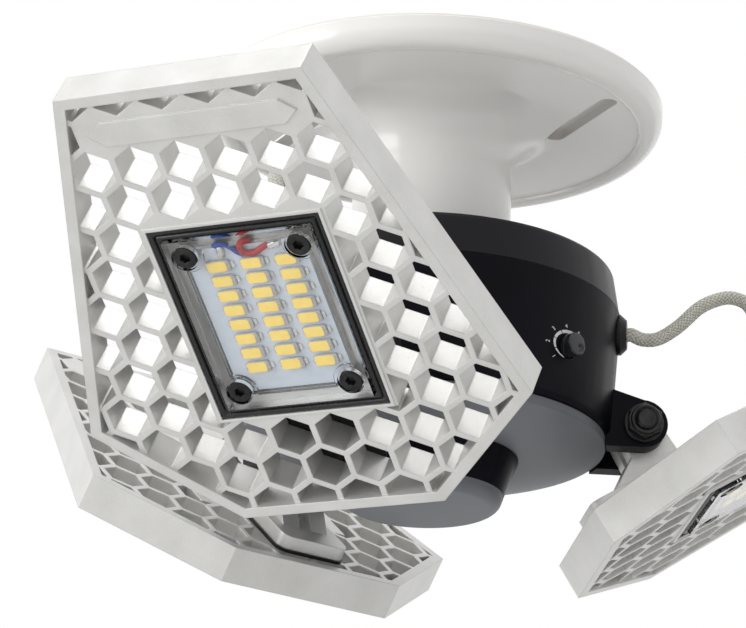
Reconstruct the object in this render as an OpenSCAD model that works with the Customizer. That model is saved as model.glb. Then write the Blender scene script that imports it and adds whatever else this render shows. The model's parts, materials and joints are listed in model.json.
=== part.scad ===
// Garage light: three folding honeycomb panels round a hub that screws into a ceiling lampholder.
// Millimetres, +Z up. The origin is the middle of the lampholder's ceiling face.

/* [Lampholder] */
// Outer diameter of the lampholder
holder_d = 114.3; // [110:0.1:125]
// Height of the rounded rim
holder_rim_h = 8; // [7.5:0.1:10]
// Radius of the rim's lower edge
holder_rim_r = 4.5; // [3:0.1:6]
// Depth of the plate's underside below the ceiling
plate_drop = 6.5; // [6:0.1:7.5]
// Depth of the shallow recess in the ceiling face
back_recess = 2.2; // [1.5:0.1:2.8]
// Outer diameter of the neck
neck_d = 39.6; // [38.5:0.1:42]
// Radius of the sweep from the plate into the neck
sweep_r = 13.2; // [11:0.1:15]
// Drop from the ceiling face to the mouth
holder_h = 44.5; // [44:0.1:50]
// Thickness of the socket's ceramic floor
socket_floor_t = 4.5; // [4:0.1:6]
// Length of each mounting slot, end to end
slot_l = 30.8; // [24:0.1:33]
// Width of each mounting slot
slot_w = 4.8; // [4.2:0.1:5.6]
// Distance of each slot's middle from the axis
slot_r = 37.5; // [37:0.1:38.5]

/* [Screw base] */
// Diameter of the lamp's screw base
base_d = 26.1; // [25.5:0.1:26.5]
// Length of the screw base, from its seat to the tip
base_l = 24; // [22:0.1:25]
// Radial clearance between the base and the socket's shell
base_clear = 0.07; // [0.02:0.01:0.1]

/* [Hub] */
// Diameter of the hub at the seam between lid and body
hub_d = 95; // [93:0.1:100]
// Diameter of the body near its bottom edge
hub_bottom_d = 91.4; // [90.6:0.1:93]
// Height of the lid's side
lid_h = 10.4; // [8.5:0.1:14]
// Diameter of the lid's top edge
lid_top_d = 91.6; // [89:0.1:92]
// Height of the hub body
body_h = 31.2; // [30.5:0.1:36]
// Wall of the hub's mouldings
hub_wall = 2.4; // [2:0.1:2.8]
// Height of the collar under the lampholder's mouth
collar_h = 1.2; // [1:0.1:3]
// Height of the bottom cover's edge
cover_edge_h = 2.3; // [2:0.1:3]
// Drop of the bottom cover from its edge to the sensor pod
cover_dome = 3.3; // [2.5:0.1:4]
// Diameter of the sensor pod at the cover
pod_d = 47; // [45:0.1:49]
// Diameter of the sensor pod at its cap
pod_cap_d = 39.8; // [39:0.1:42]
// Height of the sensor pod's black wall
pod_h = 9.2; // [8:0.1:10.5]
// Height of the sensor pod's cap
pod_cap_h = 3.4; // [3:0.1:4]

/* [Hinges] */
// Distance of each hinge pin from the axis
pin_r = 52.2; // [52:0.1:54]
// Height of the hinge pins above the body's lower edge
pin_up = 3.5; // [3.2:0.1:5]
// Diameter of the pivot bolts
pin_d = 5; // [4:0.1:5.6]
// Radial clearance of the turning lugs on their bolt
pin_clear = 0.06; // [0.02:0.01:0.1]
// Radius of the ears round the pin
ear_r = 6; // [5.4:0.1:6.4]
// Thickness of each ear
ear_t = 5; // [4:0.1:6]
// Half of the gap between two ears
ear_in = 7.1; // [6.6:0.1:8]
// Thickness of each lug
lug_t = 5; // [4:0.1:5.4]
// Radius of the lugs round the pin
lug_r = 5.25; // [4.8:0.05:5.6]
// Fold of the front panel up from level, in degrees
fold_front = 34.8; // [0:0.1:60]
// Fold of the right panel up from level, in degrees
fold_right = 32.1; // [0:0.1:60]
// Fold of the left panel up from level, in degrees
fold_left = 39.3; // [0:0.1:60]

/* [Panels] */
// Thickness of a panel's rim
panel_t = 9.5; // [9:0.1:11]
// Length of a panel from its hub edge to its outer edge
panel_l = 117.5; // [116.5:0.1:119]
// Distance from the hub edge to the widest corners
corner_v = 27.6; // [26:0.1:30]
// Half width of the hub edge
hub_edge_hw = 25.2; // [24:0.1:27]
// Half width at the widest corners
corner_hw = 54.9; // [53:0.1:57]
// Half width of the outer edge
outer_hw = 29.6; // [28.5:0.1:32]
// Width of the raised rim
rim_w = 2.7; // [2.2:0.1:3.2]
// Step from the rim down to the honeycomb
face_step = 0.8; // [0.4:0.1:1.2]
// Distance between the middles of two cells
pitch = 11; // [10.6:0.1:11.4]
// Thickness of the walls between cells
cell_wall = 1.5; // [1.2:0.1:2]
// Distance from the hub edge to the middle of the first full row
first_row = 12; // [11.6:0.1:12.4]
// Distance from the hub edge to the pin, along the panel
pin_v = 26; // [25:0.1:27]
// Distance from the panel's back to the pin
pin_gap = 15; // [14.4:0.1:16.5]

/* [Light window] */
// Half width of the window
win_hw = 21; // [20.4:0.1:21.2]
// Near end of the window from the hub edge
win_v0 = 28.2; // [28:0.1:28.4]
// Length of the window
win_l = 52.6; // [51.6:0.1:52.6]
// Thickness of the metal floor under the light board
floor_t = 5.3; // [4.8:0.1:5.5]
// Width of the black gasket
gasket_w = 2.9; // [2.5:0.1:3]
// Side wall of the clear lens
lens_wall = 3; // [2.6:0.1:3.2]
// Thickness of the light board
board_t = 1.2; // [1:0.1:1.6]
// Distance between the middles of two columns of emitters
led_dx = 8.4; // [7:0.1:9]
// Distance between the middles of two rows of emitters
led_dv = 4; // [3.4:0.1:4.2]
// Length of an emitter
led_l = 5.7; // [5:0.1:6]
// Width of an emitter
led_w = 3; // [2.6:0.1:3.2]

/* [Leads] */
// Diameter of the braided leads
lead_d = 3.4; // [3:0.1:4]
// Radius of the hub's cable glands
gland_r = 5; // [4.6:0.1:5.2]
// How far the hub's glands stand out of the body
gland_out = 2; // [1.6:0.1:2.4]

/* [Knob] */
// Diameter of the sensitivity knob
knob_d = 5.6; // [5.4:0.1:7]
// How far the knob stands out of the body
knob_out = 3; // [1:0.1:3.4]

/* [Hidden] */
$fn = 48;

// Small amounts shared by every piece
cut = 1;
seat = 0.05;
air = 0.3;

// Directions of the three panels, and of what sits beside each one
front = -113.3;
right = 6.7;
left = 126.7;
panel_azimuths = [front, right, left];
gland_turn = -13.4;
knob_azimuth = -43.8;

// Lampholder
holder_r = holder_d / 2;
neck_r = neck_d / 2;
rim_wall = 5;
neck_wall = 4.2;
mouth_r = neck_r - neck_wall;
slot_azimuth = -13.9;
slot_skew = 48.9;
base_r = base_d / 2;
shell_t = 0.45;
shell_in = base_r + base_clear;
shell_out = shell_in + shell_t;
contact_rise = 4.4;
back_well_r = neck_r + 0.7;

// Heights down from the ceiling
collar_top = -holder_h - 0.4;
lid_top = collar_top - collar_h;
seam = lid_top - lid_h;
body_bottom = seam - body_h;
pin_z = body_bottom + pin_up;
cover_bottom = body_bottom - cover_edge_h;
pod_top = cover_bottom - cover_dome;
pod_bottom = pod_top - pod_h;
base_seat = collar_top + 2.4;
base_top = base_seat + base_l;
tip_h = 1.6;
insulator_h = 3.4;
base_shell_top = base_top - tip_h - insulator_h;
socket_floor = base_top + air + contact_rise;
back_floor = socket_floor + socket_floor_t;

// Hub
hub_r = hub_d / 2;
hub_bottom_r = hub_bottom_d / 2;
edge_r = 1.6;
body_edge_z = body_bottom + edge_r;
collar_r = neck_r + 2.5;
lid_seam_r = hub_r - 0.2;
lid_edge_r = 1.5;
cover_r = hub_bottom_r - 1.3;
screw_boss_r = 4;
screw_boss_at = hub_bottom_r - hub_wall - 5.3;
lid_screw_turns = [53.3, 173.3, 293.3];
gland_z = seam - gland_r - 0.1;
knob_z = seam - 17.7;
driver_z = body_bottom + 8.7;
driver_r = screw_boss_at - screw_boss_r - 1;
post_at = driver_r - 5;
pod_wall = 2;
pod_spigot_r = pod_d / 2 - 2.6;

// Hinges
ear_out = ear_in + ear_t;
lug_out = ear_in - air;
lug_in = lug_out - lug_t;
nut_af = 8;
nut_h = 4;
bolt_tail = nut_h + 0.7;
bolt_head_r = 4.4;
bolt_head_h = 3;
ear_rise = 8.7;

// Panels, in the panel's own frame: x from the hub edge outwards, y across, z up from the back face
outline = [
  [0, -hub_edge_hw], [corner_v, -corner_hw], [panel_l, -outer_hw],
  [panel_l, outer_hw], [corner_v, corner_hw], [0, hub_edge_hw]
];
row_step = pitch * sqrt(3) / 2;
cell_r = (pitch - cell_wall) / sqrt(3);
sliver = 1.4;
comb_t = panel_t - face_step;
win_v1 = win_v0 + win_l;
win_mid = (win_v0 + win_v1) / 2;
land_side = 1.5;
land_near = 0.9;
land_far = 1.8;
bead_w = 0.8;
bead_rise = 0.4;
plate_row = 10;
plate_v = first_row + (plate_row - 0.02) * row_step;
plate_hw = 25;
plate_half = 3.1;
plate_chamfer = 3.5;
plate_rise = 0.5;
lens_hw = win_hw - gasket_w - seat;
lens_half = win_l / 2 - gasket_w - seat;
lens_top = panel_t + 0.3;
lens_roof = 1.5;
lens_screw_x = 18.75;
lens_screw_y = 13.8;
lens_screw_r = 1.45;
lens_boss_r = 4.2;
lens_foot_r = 2.9;
screw_head_r = 2.75;
screw_head_h = 1.8;
board_hw = lens_hw - lens_wall - 0.2;
board_half = lens_half - lens_wall - 0.2;
led_t = 0.8;
led_columns = 3;
led_rows = 8;
led_shift_x = 0.5;
led_shift_y = 0.8;
pad_t = 0.8;
bracket_t = 3.5;
bracket_v0 = pin_v - 21;
bracket_v1 = pin_v + 13.5;
bracket_hw = 10;
bracket_screw_v = pin_v + 9.5;
bracket_screw_u = 5;
bracket_head_h = 2.2;
panel_gland_v = pin_v + 34;
panel_gland_h = 6;

// A lead's route from its hub gland: x outwards from the axis and y across, both along its panel
lead_hub_route = [
  [52, -10.6, -62.2], [56, -10, -61.4], [61, -9, -57.6], [66.6, -8, -51.8],
  [72, -7, -48.7], [76, -6, -48], [79.6, -5, -49.4], [82, -3, -53.6]
];
// The rest of it, from the pin: x along the panel, y across and z out of the panel's back
lead_panel_route = [[38, -1.4, 5], [35.6, -0.4, -1]];
lead_steps = 2;
lead_sides = 8;

// Points along an arc
function arc(c, r, a0, a1, n = 6) =
  [for (i = [0:n]) let (a = a0 + (a1 - a0) * i / n) c + r * [cos(a), sin(a)]];

// Inward unit normal of edge i of a counter-clockwise outline
function inward(p, i) =
  let (d = p[(i + 1) % len(p)] - p[i % len(p)]) [-d.y, d.x] / norm(d);

// An outline moved inwards by w
function inset(p, w) = [
  for (i = [0:len(p) - 1])
    let (a = inward(p, i + len(p) - 1), b = inward(p, i)) p[i] + w * (a + b) / (1 + a * b)
];

// Distance of point c inside an outline's nearest edge
function depth_in(p, c) = min([for (i = [0:len(p) - 1]) inward(p, i) * (c - p[i])]);

// Point on the circle of radius r round the origin where a line from p touches it
function touch(p, r, side) =
  let (a = atan2(p.y, p.x) + side * acos(r / norm(p))) r * [cos(a), sin(a)];

// Outer radius of the hub body at height z
function hub_side(z) =
  hub_r - (hub_r - hub_bottom_r) * (seam - z) / (seam - body_edge_z);

// Middles of the cells that the panel's outline, window and name plate leave
function in_window(c) = abs(c.y) < win_hw && c.x > win_v0 && c.x < win_v1 + land_far;
function in_plate(c) = abs(c.x - plate_v) < row_step / 2 && abs(c.y) < plate_hw + 3;
cells = [
  for (k = [-1:11], j = [-6:6])
    let (c = [first_row + k * row_step, (j + (k % 2 == 0 ? 0 : 0.5)) * pitch])
      if (depth_in(outline, c) > rim_w - cell_r + sliver && !in_window(c) && !in_plate(c)) c
];

// A lead's hub end, on its gland's face, and a point straight out from there
lead_exit_r = hub_side(gland_z) + gland_out;
function on_gland_axis(r) = [r * cos(gland_turn), r * sin(gland_turn), gland_z];
// A point given from the pin in the panel's directions, in the frame along its panel
function from_pin(p, fold) = [
  pin_r + p.x * cos(fold) - p.z * sin(fold), p.y, pin_z + p.x * sin(fold) + p.z * cos(fold)
];
function lead_route(fold) = concat(
  [on_gland_axis(lead_exit_r), on_gland_axis(lead_exit_r + 1.2)],
  lead_hub_route,
  [for (p = lead_panel_route) from_pin(p, fold)],
  [for (h = [2.5, 0])
    from_pin([panel_gland_v - pin_v, 0, panel_gland_h - pin_gap + h], fold)]
);

// A smooth curve through points p, with n steps from each point to the next
function bend(p, i, t) =
  let (
    a = p[max(i - 1, 0)], b = p[i], c = p[i + 1], d = p[min(i + 2, len(p) - 1)]
  )
  0.5 * (2 * b + (c - a) * t + (2 * a - 5 * b + 4 * c - d) * t * t
    + (3 * b - a - 3 * c + d) * t * t * t);
function smooth(p, n) =
  concat([for (i = [0:len(p) - 2], s = [0:n - 1]) bend(p, i, s / n)], [p[len(p) - 1]]);

module at_panel(azimuth) {
  rotate([0, 0, azimuth]) children();
}

// From a panel's own frame to its folded place at the hub
module on_panel(azimuth, fold) {
  at_panel(azimuth) translate([pin_r, 0, pin_z]) rotate([0, -fold, 0])
    translate([-pin_v, 0, -pin_gap]) children();
}

// A profile in x and z, given thickness t across y from y0
module slab(y0, t) {
  translate([0, y0 + t, 0]) rotate([90, 0, 0]) linear_extrude(t) children();
}

// A flat piece from z0 down to z1
module layer(z0, z1) {
  translate([0, 0, z1]) linear_extrude(z0 - z1) children();
}

module rounded(x0, x1, hw, r) {
  translate([x0 + r, -hw]) square([x1 - x0 - 2 * r, 2 * hw]);
  translate([x0, r - hw]) square([x1 - x0, 2 * hw - 2 * r]);
  for (x = [x0 + r, x1 - r], y = [r - hw, hw - r]) translate([x, y]) circle(r);
}

module rod(r, z0, z1) {
  translate([0, 0, z0]) cylinder(r = r, h = z1 - z0);
}

// ---- Lampholder ----

module holder_slot() {
  half = (slot_l - slot_w) / 2;
  square([2 * half, slot_w], center = true);
  for (x = [-half, half]) translate([x, 0]) circle(slot_w / 2);
}

module lampholder_body() {
  profile = concat(
    [[holder_r - rim_wall, 0], [holder_r - 1, 0], [holder_r, -1]],
    arc([holder_r - holder_rim_r, holder_rim_r - holder_rim_h], holder_rim_r, 0, -90, 9),
    arc([holder_r - holder_rim_r, -plate_drop], holder_rim_h - plate_drop, -120, -180, 3),
    arc([neck_r + sweep_r, -plate_drop - sweep_r], sweep_r, 90, 180, 14),
    [[neck_r, 1 - holder_h], [neck_r - 1, -holder_h], [mouth_r + 0.6, -holder_h]],
    [[mouth_r, 0.6 - holder_h], [mouth_r, socket_floor], [0, socket_floor]],
    [[0, back_floor], [back_well_r, back_floor], [back_well_r, -back_recess]],
    [[holder_r - rim_wall, -back_recess]]
  );
  color("white") difference() {
    rotate_extrude($fn = 96) polygon(profile);
    for (k = [0, 180]) rotate([0, 0, slot_azimuth + k]) translate([slot_r, 0, 0])
      rotate([0, 0, -slot_skew]) layer(cut, -plate_drop - 4) holder_slot();
    for (y = [-11, 11]) translate([0, y, 0]) rod(1.25, socket_floor - cut, back_floor + cut);
    for (y = [-15.8, 15.8]) translate([0, y, 0]) rod(1.75, back_floor - 3, back_floor + cut);
    rod(1.65, socket_floor - cut, back_floor + cut);
  }
}

module screw_shell() {
  shell_mouth = base_seat + 2.5;
  color("goldenrod") difference() {
    rotate_extrude() polygon([
      [9, socket_floor], [shell_out, socket_floor], [shell_out, shell_mouth + 0.5],
      [shell_out + 0.5, shell_mouth], [shell_out, shell_mouth], [shell_in, shell_mouth + 0.5],
      [shell_in, socket_floor - 0.5], [9, socket_floor - 0.5]
    ]);
    for (y = [-11, 11]) translate([0, y, 0]) rod(1.25, socket_floor - cut, socket_floor + cut);
  }
}

module centre_contact() {
  top = socket_floor;
  low = base_top + air;
  color("gold") {
    rod(1.6, top - 0.4, back_floor + 0.2);
    rod(2.6, back_floor, back_floor + 0.7);
    slab(-3.5, 7) polygon([
      [-3, top], [6.4, top], [7, top - 0.6], [7, top - 1.4], [-1, low], [-3, low + 0.3],
      [-3, low + 0.8], [-1, low + 0.5], [6.2, top - 1.5], [6.2, top - 0.5], [-3, top - 0.5]
    ]);
  }
}

module terminal_plates() {
  color("goldenrod") for (s = [0, 180]) rotate([0, 0, s]) difference() {
    layer(back_floor + 0.8, back_floor) translate([0, 8]) rotate(90) rounded(-2.5, 10.8, 4.5, 1);
    translate([0, 11, 0]) rod(1.25, back_floor - cut, back_floor + 2);
    translate([0, 15.8, 0]) rod(1.75, back_floor - cut, back_floor + 2);
  }
}

module terminal_screws() {
  color("silver") for (y = [-15.8, 15.8]) translate([0, y, 0]) difference() {
    union() {
      rod(1.7, back_floor - 2.8, back_floor + 1);
      rod(2.9, back_floor + 0.8, back_floor + 2.8);
    }
    translate([-4, -0.4, back_floor + 1.9]) cube([8, 0.8, 2]);
  }
}

module socket_rivets() {
  color("goldenrod") for (y = [-11, 11]) translate([0, y, 0]) {
    rod(1.2, socket_floor - 0.6, back_floor + 1);
    rod(2, socket_floor - 1.1, socket_floor - 0.5);
    rod(1.7, back_floor + 0.8, back_floor + 1.4);
  }
}

// ---- Screw base ----

module base_shell() {
  color("silver") rotate_extrude() polygon([
    [base_r - 0.5, base_seat], [base_r, base_seat], [base_r, base_shell_top - 1],
    [base_r - 1, base_shell_top], [9, base_shell_top], [9, base_shell_top - 0.5],
    [base_r - 1.1, base_shell_top - 0.5], [base_r - 0.5, base_shell_top - 1.1]
  ]);
}

module base_insulator() {
  top = base_shell_top + insulator_h;
  color("black") rotate_extrude() polygon([
    [1.5, base_shell_top - 2], [8.8, base_shell_top - 2], [8.8, base_shell_top],
    [9.6, base_shell_top + 0.02], [9.2, base_shell_top + 0.8], [5.4, top], [1.5, top]
  ]);
}

module base_tip() {
  foot = base_shell_top + insulator_h;
  color("silver") rotate_extrude() polygon(concat(
    [[0, foot - 4], [1.4, foot - 4], [1.4, foot], [5, foot], [5, foot + 0.4]],
    [[4.2, foot + 1], [2.6, foot + 1.45], [0, base_top]]
  ));
}

// ---- Hub ----

module at_lid_screws() {
  for (a = lid_screw_turns) rotate([0, 0, a]) translate([screw_boss_at, 0, 0]) children();
}

module hub_lid() {
  top_r = lid_top_d / 2;
  lip_r = hub_r - hub_wall - 0.2;
  inner = lid_top - hub_wall;
  color([0.13, 0.13, 0.15]) difference() {
    union() {
      rotate_extrude($fn = 96) polygon(concat(
        [[lid_seam_r - hub_wall, seam], [lid_seam_r, seam]],
        arc([top_r - lid_edge_r, lid_top - lid_edge_r], lid_edge_r, 8, 90),
        [[collar_r + 0.6, lid_top], [collar_r, lid_top + 0.6], [collar_r, collar_top - 0.3]],
        [[collar_r - 0.3, collar_top], [base_r + 0.5, collar_top], [base_r + 0.5, base_seat]],
        [[base_r - 0.55, base_seat], [base_r - 0.55, base_seat + 5], [10, base_seat + 5]],
        [[10, inner], [top_r - lid_edge_r, inner], [top_r - hub_wall, inner - 2]]
      ));
      rotate_extrude($fn = 96)
        polygon([
          [lip_r - 1.8, inner - 1], [lip_r - 1.8, seam - 1.4], [lip_r, seam - 1.4],
          [lip_r, seam + 1], [lid_seam_r - 1, seam + 0.4], [top_r - 1.5, inner - 1]
        ]);
      at_lid_screws() rod(screw_boss_r, seam, lid_top - 1);
    }
    at_lid_screws() rod(1.7, seam - cut, lid_top + cut);
    at_lid_screws() rod(3.1, lid_top - 2.3, lid_top + cut);
  }
}

module lid_screws() {
  color("dimgray") at_lid_screws() difference() {
    union() {
      rod(1.45, seam - 9, lid_top - 2.2);
      rod(screw_head_r, lid_top - 2.3, lid_top - 0.4);
    }
    rod(1.3, lid_top - 1.6, lid_top);
  }
}

module at_knob() {
  rotate([0, 0, knob_azimuth]) translate([0, 0, knob_z]) rotate([0, 90, 0]) children();
}

module at_pins() {
  for (a = panel_azimuths) at_panel(a) translate([pin_r, 0, pin_z]) rotate([90, 0, 0]) children();
}

// An ear's side, with the pin at the origin and its root in the body's wall
module ear_profile() {
  root = hub_bottom_r - 2.7 - pin_r;
  polygon([
    [root, ear_rise], touch([root, ear_rise], ear_r - 0.2, -1), [0, 0], [0.4, 0.1 - ear_r],
    [0, -ear_r], [root, -ear_r - 0.2]
  ]);
  circle(ear_r);
}

module hub_ears() {
  for (a = panel_azimuths, y = [ear_in, -ear_out]) at_panel(a) translate([pin_r, 0, pin_z])
    slab(y, ear_t) ear_profile();
}

// The space inside the body, and round the bottom cover's edge below it
module hub_cavity() {
  low_r = hub_bottom_r - hub_wall;
  step = body_bottom + 0.02;
  under = body_bottom - 2 * hub_wall;
  rotate_extrude($fn = 96) polygon([
    [0, seam + cut], [hub_r - hub_wall, seam + cut], [hub_r - hub_wall, seam],
    [low_r, body_edge_z], [low_r, step], [cover_r + air, step], [cover_r + air, under], [0, under]
  ]);
}

module hub_body() {
  color([0.13, 0.13, 0.15]) difference() {
    union() {
      difference() {
        union() {
          rotate_extrude($fn = 96) polygon(concat(
            [[0, seam], [hub_r - 0.3, seam], [hub_r, seam - 0.3]],
            arc([hub_bottom_r - edge_r, body_edge_z], edge_r, 0, -90),
            [[0, body_bottom]]
          ));
          hub_ears();
        }
        hub_cavity();
      }
      at_lid_screws() rod(screw_boss_r, seam - 13, seam - 0.1);
      for (a = lid_screw_turns) rotate([0, 0, a])
        translate([screw_boss_at, -1.2, seam - 12.5]) cube([hub_bottom_r - screw_boss_at, 2.4, 8]);
    }
    at_pins() cylinder(r = pin_d / 2 + seat, h = 2 * ear_out + 2, center = true);
    for (a = panel_azimuths) at_panel(a + gland_turn)
      translate([hub_side(gland_z) - 5, 0, gland_z]) rotate([0, 90, 0])
        cylinder(r = gland_r - 1.5 + seat, h = 10);
    at_knob() rod(knob_d / 2 + 0.2, hub_side(knob_z) - 5, hub_side(knob_z) + 5);
    at_lid_screws() rod(1.5, seam - 12, seam + cut);
  }
}

module hub_glands() {
  side = hub_side(gland_z);
  color([0.05, 0.05, 0.06]) for (a = panel_azimuths) at_panel(a + gland_turn) {
    difference() {
      translate([0, 0, gland_z]) rotate([0, 90, 0]) rotate_extrude() polygon([
        [0, side - 1], [gland_r, side - 1], [gland_r, side + 0.5], [gland_r - 1.4, side + gland_out],
        [0, side + gland_out]
      ]);
      translate([0, 0, body_edge_z]) cylinder(
        r1 = hub_bottom_r + seat, r2 = hub_r + seat, h = seam - body_edge_z, $fn = 96
      );
    }
    translate([0, 0, gland_z]) rotate([0, 90, 0]) rod(gland_r - 1.5, side - 4.6, side + 0.4);
  }
}

module bottom_cover() {
  hole_r = pod_spigot_r + seat;
  ring_r = hub_bottom_r - hub_wall - 0.2;
  inner = cover_bottom - 0.3;
  pod_edge = pod_d / 2;
  belly = [for (i = [0:8]) let (r = cover_r - (cover_r - pod_edge) * i / 8, s = 1 - i / 8)
    [r, cover_bottom - cover_dome * (1 - s * s)]];
  color([0.3, 0.3, 0.32]) union() {
    rotate_extrude($fn = 96) polygon(concat(
      [[hole_r, inner], [ring_r - 6, inner], [ring_r - 1.8, body_bottom]],
      [[ring_r - 1.8, body_bottom + 3], [ring_r, body_bottom + 3], [ring_r, body_bottom]],
      [[cover_r, body_bottom]], belly, [[hole_r, pod_top]]
    ));
    for (a = [0, 120, 240]) rotate([0, 0, a]) translate([post_at, 0, 0]) {
      rod(2.6, inner - 0.5, driver_z);
      rod(1.4, driver_z - 1, driver_z + 2);
    }
  }
}

module sensor_pod() {
  outer = pod_d / 2;
  cap = pod_cap_d / 2;
  color([0.08, 0.08, 0.09]) rotate_extrude($fn = 96) polygon([
    [pod_spigot_r - pod_wall, cover_bottom + 1], [pod_spigot_r, cover_bottom + 1],
    [pod_spigot_r, pod_top], [outer - 0.2, pod_top], [outer - 0.2, pod_top - 0.4],
    [cap, pod_bottom], [cap - pod_wall, pod_bottom], [cap - pod_wall, pod_top - 2],
    [pod_spigot_r - pod_wall, pod_top - 1]
  ]);
}

module pod_cap() {
  cap = pod_cap_d / 2;
  bottom = pod_bottom - pod_cap_h;
  spigot = cap - pod_wall - 0.1;
  color([0.35, 0.35, 0.37]) union() {
    rotate_extrude($fn = 96) polygon(concat(
      [[spigot, pod_bottom], [cap, pod_bottom], [cap, pod_bottom - 0.3]],
      arc([cap - pod_cap_h + 0.1, pod_bottom - 0.3], pod_cap_h - 0.3, 0, -90, 8),
      [[0, bottom], [0, bottom + 1.6], [cap - 3.6, bottom + 1.6], [spigot - 1.4, pod_bottom + 2]],
      [[spigot, pod_bottom + 2]]
    ));
    for (a = [45, 165, 285]) rotate([0, 0, a]) translate([10, 0, 0])
      rod(1.8, bottom + 1, pod_bottom + 1);
  }
}

module sensor_board() {
  color("darkgreen") {
    rod(pod_cap_d / 2 - pod_wall - 2.2, pod_bottom + 1, pod_bottom + 2.2);
    translate([-6, -4, pod_bottom + 2.2]) cube([12, 8, 1.6]);
  }
}

module driver_board() {
  color("darkgreen") difference() {
    rod(driver_r, driver_z, driver_z + 1.6);
    for (a = [0, 120, 240]) rotate([0, 0, a]) translate([post_at, 0, 0])
      rod(1.45, driver_z - cut, driver_z + 3);
  }
}

module driver_parts() {
  top = driver_z + 1.6;
  color("steelblue") {
    for (x = [-6, 8]) translate([x, -16, 0]) rod(5, top, top + 15);
    translate([-12, 2, top]) cube([16, 14, 12]);
    translate([10, 10, 0]) rod(4.5, top, top + 9);
    translate([-24, -4, top]) cube([6, 12, 4]);
    translate([-13, -8, top]) cube([5, 3.5, 3]);
  }
}

module potentiometer() {
  face = hub_side(knob_z) - hub_wall - 0.5;
  color("navy") at_knob() difference() {
    union() {
      translate([-5, -5, face - 6]) cube([10, 10, 4.8]);
      rod(knob_d / 2 + 0.9, face - 1.3, face);
    }
    rod(knob_d / 2 + 0.1, face - 0.9, face + cut);
    rod(1.55, face - 4.2, face + cut);
  }
}

module sensitivity_knob() {
  side = hub_side(knob_z);
  face = side - hub_wall - 0.5;
  color([0.1, 0.1, 0.12]) at_knob() difference() {
    union() {
      rod(1.5, face - 4, face);
      rod(knob_d / 2, face - 0.6, side + knob_out - 0.3);
      rod(knob_d / 2 - 0.3, side, side + knob_out);
    }
    translate([-knob_d / 2 + 0.9, -0.4, side + knob_out - 0.7]) cube([knob_d - 1.8, 0.8, 2]);
  }
}

// ---- Hinge fasteners ----

module pivot_bolts() {
  color("dimgray") at_pins() difference() {
    union() {
      rod(pin_d / 2, -ear_out - 0.5, ear_out + bolt_tail - 0.4);
      rod(pin_d / 2 - 0.4, ear_out, ear_out + bolt_tail);
      rod(bolt_head_r, -ear_out - bolt_head_h, -ear_out);
    }
    translate([0, 0, -ear_out - bolt_head_h]) cylinder(r = 1.7, h = 3.2, center = true, $fn = 6);
  }
}

module pivot_nuts() {
  color("dimgray") at_pins() difference() {
    union() {
      translate([0, 0, ear_out]) cylinder(r = nut_af / sqrt(3), h = nut_h - 1, $fn = 6);
      rod(nut_af / 2 - 0.3, ear_out, ear_out + nut_h);
      rod(nut_af / 2 + 0.9, ear_out, ear_out + 0.8);
    }
    rod(pin_d / 2 + seat, ear_out - cut, ear_out + nut_h + cut);
  }
}

module pivot_spacers() {
  half = lug_in - 0.2;
  color("silver") at_pins() difference() {
    rod(pin_d / 2 + 1.4, -half, half);
    rod(pin_d / 2 + seat, -half - cut, half + cut);
  }
}

// ---- Panels ----

module window_area(margin = 0) {
  translate([win_v0 - margin, -win_hw - margin]) square([win_l + 2 * margin, 2 * (win_hw + margin)]);
}

module name_plate() {
  tip = plate_hw;
  flat = plate_hw - plate_chamfer;
  polygon([
    [plate_v, -tip], [plate_v + plate_half, -flat], [plate_v + plate_half, flat], [plate_v, tip],
    [plate_v - plate_half, flat], [plate_v - plate_half, -flat]
  ]);
}

// The cells that go through the panel
module comb() {
  difference() {
    intersection() {
      polygon(inset(outline, rim_w));
      for (c = cells) translate(c) circle(cell_r, $fn = 6);
    }
    translate([win_v0 - land_near, -win_hw - land_side])
      square([win_l + land_near + land_far, 2 * (win_hw + land_side)]);
  }
}

module at_lens_screws() {
  for (x = [-lens_screw_x, lens_screw_x], y = [-lens_screw_y, lens_screw_y])
    translate([win_mid + x, y, 0]) children();
}

module at_bracket_screws() {
  for (y = [-bracket_screw_u, bracket_screw_u]) translate([bracket_screw_v, y, 0]) children();
}

module panel_housing() {
  color([0.78, 0.78, 0.76]) difference() {
    union() {
      layer(0, -comb_t) difference() {
        polygon(outline);
        comb();
      }
      layer(0, -panel_t) difference() {
        polygon(outline);
        polygon(inset(outline, rim_w));
      }
      layer(-comb_t + 1, -comb_t - plate_rise) name_plate();
      layer(-comb_t + 1, -comb_t - bead_rise) window_area(bead_w);
    }
    layer(-floor_t, -panel_t - cut) window_area();
    at_lens_screws() rod(lens_screw_r + seat, -floor_t - cut, -1);
    at_bracket_screws() rod(lens_screw_r + seat, -floor_t + 1, cut);
    translate([panel_gland_v, 0, 0]) rod(2.2, -floor_t - cut, cut);
  }
}

module panel_gasket() {
  color([0.06, 0.06, 0.07]) layer(-floor_t, -comb_t - 0.2) difference() {
    window_area(-seat);
    window_area(-gasket_w);
  }
}

module board_area() {
  translate([win_mid - board_half, -board_hw]) square([2 * board_half, 2 * board_hw]);
}

module panel_led_board() {
  color([0.75, 0.78, 0.85]) difference() {
    layer(-floor_t, -floor_t - board_t) board_area();
    at_lens_screws() rod(lens_screw_r + 0.25, -floor_t - board_t - cut, cut - floor_t);
  }
}

module panel_leds() {
  top = -floor_t - board_t;
  color("gold") for (i = [0:led_columns - 1], k = [0:led_rows - 1])
    translate([(k - (led_rows - 1) / 2) * led_dv, (i - (led_columns - 1) / 2) * led_dx, top])
      translate([win_mid + led_shift_x - led_w / 2, led_shift_y - led_l / 2, -led_t])
        cube([led_w, led_l, led_t]);
}

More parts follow.
